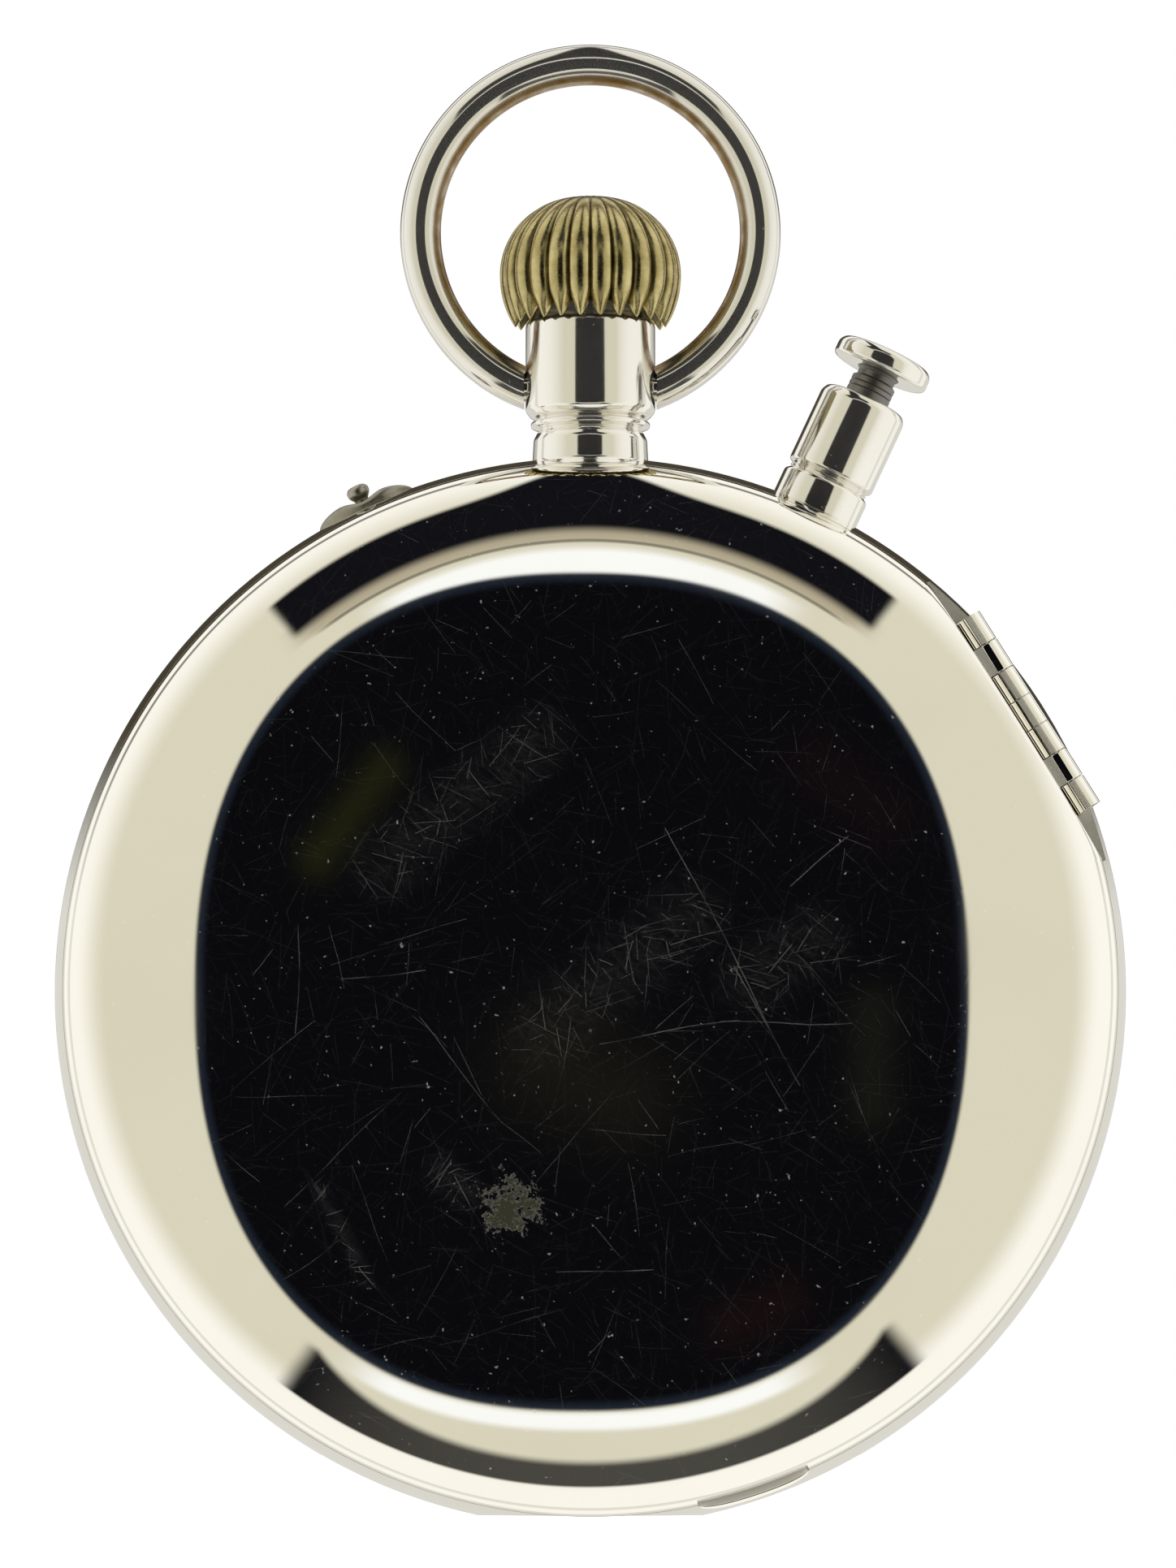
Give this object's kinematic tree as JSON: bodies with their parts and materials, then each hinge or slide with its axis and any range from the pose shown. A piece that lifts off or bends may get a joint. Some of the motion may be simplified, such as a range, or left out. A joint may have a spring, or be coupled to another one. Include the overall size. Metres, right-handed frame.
{
  "type": "marine deck watch",
  "caption": "Large open-face keyless split-seconds chronograph deck watch with hinged back, dust cover and bezel, push-pieces, bow and full lever movement.",
  "frame": {"origin": "centre of the crystal's flat outer face", "axes": "+Z towards the pendant at 12 o'clock, -Y out of the dial, +Y out of the back, +X to the right of somebody who looks at the dial"},
  "size_m": [0.0664, 0.0207, 0.0919],
  "materials": {
    "case_silver": "polished nickel silver",
    "crown_brass": "worn gilt brass",
    "steel": "polished steel",
    "grey_steel": "dulled steel",
    "spring_steel": "blued spring steel",
    "blued_steel": "heat-blued steel",
    "gilt_brass": "gilt",
    "train_brass": "polished",
    "nickelled_plate": "nickel-plated and striped",
    "crystal_glass": "polished",
    "dial_enamel": "fired enamel",
    "ruby": "polished ruby"
  },
  "bodies": {
    "case": {"case_middle": "case_silver", "hinge_pins": "steel", "pendant": "case_silver", "pendant_sleeve": "steel", "split_pusher_barrel": "case_silver", "split_pusher_spring": "spring_steel", "set_pin_guard": "case_silver", "set_pin_spring": "spring_steel", "crown_spring": "spring_steel", "dial": "dial_enamel", "main_plate": "nickelled_plate", "barrel_bridge": "nickelled_plate", "train_bridge": "nickelled_plate", "balance_cock": "nickelled_plate", "pallet_cock": "nickelled_plate", "chronograph_cock": "steel", "jewels": "ruby", "movement_screws": "blued_steel", "hairspring": "blued_steel"},
    "back_cover": {"back_cover": "case_silver"},
    "cuvette": {"cuvette": "case_silver"},
    "bezel": {"bezel": "case_silver", "crystal": "crystal_glass"},
    "bow": {"bow": "case_silver"},
    "crown_slide": {"push_collar": "steel"},
    "crown": {"crown": "crown_brass", "winding_stem": "steel"},
    "winding_pinion": {"winding_pinion": "steel"},
    "crown_wheel": {"crown_wheel": "steel"},
    "ratchet": {"barrel_arbor": "steel", "ratchet_wheel": "steel"},
    "click": {"click": "steel"},
    "split_pusher": {"split_pusher": "grey_steel"},
    "set_pin": {"set_pin": "grey_steel"},
    "minute_arbor": {"centre_wheel": "train_brass", "cannon_pinion": "steel", "minute_hand": "blued_steel"},
    "hour": {"hour_wheel": "gilt_brass", "hour_hand": "blued_steel"},
    "minute_wheel": {"minute_wheel": "gilt_brass"},
    "barrel": {"barrel": "train_brass", "barrel_cover": "train_brass", "mainspring": "spring_steel"},
    "third": {"third_wheel": "train_brass"},
    "fourth": {"fourth_wheel": "train_brass", "small_seconds_hand": "blued_steel"},
    "escape": {"escape_wheel": "train_brass"},
    "pallet": {"pallet_fork": "steel"},
    "balance": {"balance_wheel": "gilt_brass", "balance_staff": "steel"},
    "chronograph": {"chronograph_runner": "train_brass", "chronograph_seconds_hand": "blued_steel"},
    "split": {"split_wheel": "train_brass", "split_seconds_hand": "steel"},
    "recorder": {"minute_recorder_wheel": "gilt_brass", "minute_recorder_hand": "blued_steel"},
    "column_wheel": {"column_wheel": "steel"},
    "chronograph_lever": {"chronograph_lever": "steel"},
    "split_lever": {"split_lever": "steel"},
    "regulator": {"regulator": "steel"}
  },
  "joints": [
    {"name": "back_cover_hinge", "type": "hinge", "parent": "case", "child": "back_cover", "pos_m": [-0.02701, 0.01425, 0.01688], "axis": [0.5299, 0, 0.848], "range_deg": [0, 115]},
    {"name": "cuvette_hinge", "type": "hinge", "parent": "case", "child": "cuvette", "pos_m": [-0.02701, 0.01425, 0.01688], "axis": [0.5299, 0, 0.848], "range_deg": [0, 96]},
    {"name": "bezel_hinge", "type": "hinge", "parent": "case", "child": "bezel", "pos_m": [0, 0.00615, -0.0317], "axis": [1, 0, 0], "range_deg": [0, 100]},
    {"name": "bow_swing", "type": "hinge", "parent": "case", "child": "bow", "pos_m": [0, 0.0104, 0.0377], "axis": [1, 0, 0], "range_deg": [-100, 100]},
    {"name": "crown_push", "type": "slide", "parent": "case", "child": "crown_slide", "axis": [0, 0, -1], "range_m": [0, 0.00075], "stiffness_N_per_m": 800, "springref_m": -0.0005, "deforming": ["crown_spring"]},
    {"name": "crown_spin", "type": "hinge", "parent": "crown_slide", "child": "crown", "pos_m": [0, 0.0104, 0.044], "axis": [0, 0, 1], "continuous": true},
    {"name": "winding_pinion_spin", "type": "hinge", "parent": "case", "child": "winding_pinion", "pos_m": [0, 0.0104, 0.0252], "axis": [0, 0, 1], "continuous": true},
    {"name": "crown_wheel_spin", "type": "hinge", "parent": "case", "child": "crown_wheel", "pos_m": [0, 0.014, 0.019], "axis": [0, 1, 0], "continuous": true},
    {"name": "ratchet_spin", "type": "hinge", "parent": "case", "child": "ratchet", "pos_m": [0.0106, 0.014, 0.0061], "axis": [0, 1, 0], "continuous": true},
    {"name": "click_lift", "type": "hinge", "parent": "case", "child": "click", "pos_m": [0.022, 0.0142, 0.0085], "axis": [0, -1, 0], "range_deg": [0, 12], "stiffness_Nm_per_rad": 0.0005, "springref_deg": -11.46},
    {"name": "split_push", "type": "slide", "parent": "case", "child": "split_pusher", "axis": [0.4226, 0, -0.9063], "range_m": [0, 0.0012], "stiffness_N_per_m": 500, "springref_m": -0.0005, "deforming": ["split_pusher_spring"]},
    {"name": "set_pin_push", "type": "slide", "parent": "case", "child": "set_pin", "axis": [-0.4226, 0, -0.9063], "range_m": [0, 0.0006], "stiffness_N_per_m": 300, "springref_m": -0.0003, "deforming": ["set_pin_spring"]},
    {"name": "seconds_spin", "type": "hinge", "parent": "case", "child": "fourth", "pos_m": [0, 0.01, -0.0135], "axis": [0, 1, 0], "continuous": true},
    {"name": "minute_spin", "type": "hinge", "parent": "case", "child": "minute_arbor", "pos_m": [0, 0.008, 0], "axis": [0, 1, 0], "continuous": true},
    {"name": "hour_spin", "type": "hinge", "parent": "case", "child": "hour", "pos_m": [0, 0.005, 0], "axis": [0, 1, 0], "continuous": true},
    {"name": "minute_wheel_spin", "type": "hinge", "parent": "case", "child": "minute_wheel", "pos_m": [0.0034, 0.006, -0.00339], "axis": [0, 1, 0], "continuous": true},
    {"name": "barrel_spin", "type": "hinge", "parent": "case", "child": "barrel", "pos_m": [0.0106, 0.01, 0.0061], "axis": [0, 1, 0], "continuous": true},
    {"name": "third_spin", "type": "hinge", "parent": "case", "child": "third", "pos_m": [-0.00446, 0.01, -0.00782], "axis": [0, 1, 0], "continuous": true},
    {"name": "escape_spin", "type": "hinge", "parent": "case", "child": "escape", "pos_m": [-0.00607, 0.01, -0.01457], "axis": [0, 1, 0], "continuous": true},
    {"name": "pallet_rock", "type": "hinge", "parent": "case", "child": "pallet", "pos_m": [-0.00945, 0.0092, -0.01262], "axis": [0, 1, 0], "range_deg": [-5, 5]},
    {"name": "balance_swing", "type": "hinge", "parent": "case", "child": "balance", "pos_m": [-0.0136, 0.0117, -0.0102], "axis": [0, 1, 0], "range_deg": [-270, 270], "stiffness_Nm_per_rad": 0.0000025},
    {"name": "chronograph_spin", "type": "hinge", "parent": "case", "child": "chronograph", "pos_m": [0, 0.0147, 0], "axis": [0, 1, 0], "continuous": true},
    {"name": "split_spin", "type": "hinge", "parent": "case", "child": "split", "pos_m": [0, 0.0153, 0], "axis": [0, 1, 0], "continuous": true},
    {"name": "recorder_spin", "type": "hinge", "parent": "case", "child": "recorder", "pos_m": [0, 0.006, 0.0135], "axis": [0, 1, 0], "continuous": true},
    {"name": "column_wheel_step", "type": "hinge", "parent": "case", "child": "column_wheel", "pos_m": [-0.0145, 0.012, 0.0125], "axis": [0, 1, 0], "continuous": true},
    {"name": "chronograph_lever_swing", "type": "hinge", "parent": "case", "child": "chronograph_lever", "pos_m": [-0.009, 0.0103, 0.018], "axis": [0, 1, 0], "range_deg": [0, 5.5]},
    {"name": "split_lever_swing", "type": "hinge", "parent": "case", "child": "split_lever", "pos_m": [-0.017, 0.0103, 0.018], "axis": [0, 1, 0], "range_deg": [0, 10]},
    {"name": "regulator_turn", "type": "hinge", "parent": "case", "child": "regulator", "pos_m": [-0.0136, 0.0141, -0.0102], "axis": [0, 1, 0], "range_deg": [-20, 20]}
  ],
  "couplings": [
    {"joint": "cuvette_hinge", "follows": "back_cover_hinge", "ratio": 0.82609},
    {"joint": "winding_pinion_spin", "follows": "crown_spin", "ratio": 1},
    {"joint": "crown_wheel_spin", "follows": "crown_spin", "ratio": -0.38889},
    {"joint": "ratchet_spin", "follows": "crown_spin", "ratio": 0.28161},
    {"joint": "minute_spin", "follows": "seconds_spin", "ratio": 0.016667},
    {"joint": "hour_spin", "follows": "seconds_spin", "ratio": 0.0013889},
    {"joint": "minute_wheel_spin", "follows": "seconds_spin", "ratio": -0.0055556},
    {"joint": "barrel_spin", "follows": "seconds_spin", "ratio": -0.0022222},
    {"joint": "third_spin", "follows": "seconds_spin", "ratio": -0.13333},
    {"joint": "escape_spin", "follows": "seconds_spin", "ratio": -10},
    {"joint": "recorder_spin", "follows": "chronograph_spin", "ratio": 0.033333},
    {"joint": "chronograph_lever_swing", "follows": "crown_push", "rad_per_m": 121.01},
    {"joint": "split_lever_swing", "follows": "split_push", "rad_per_m": 141.08}
  ]
}
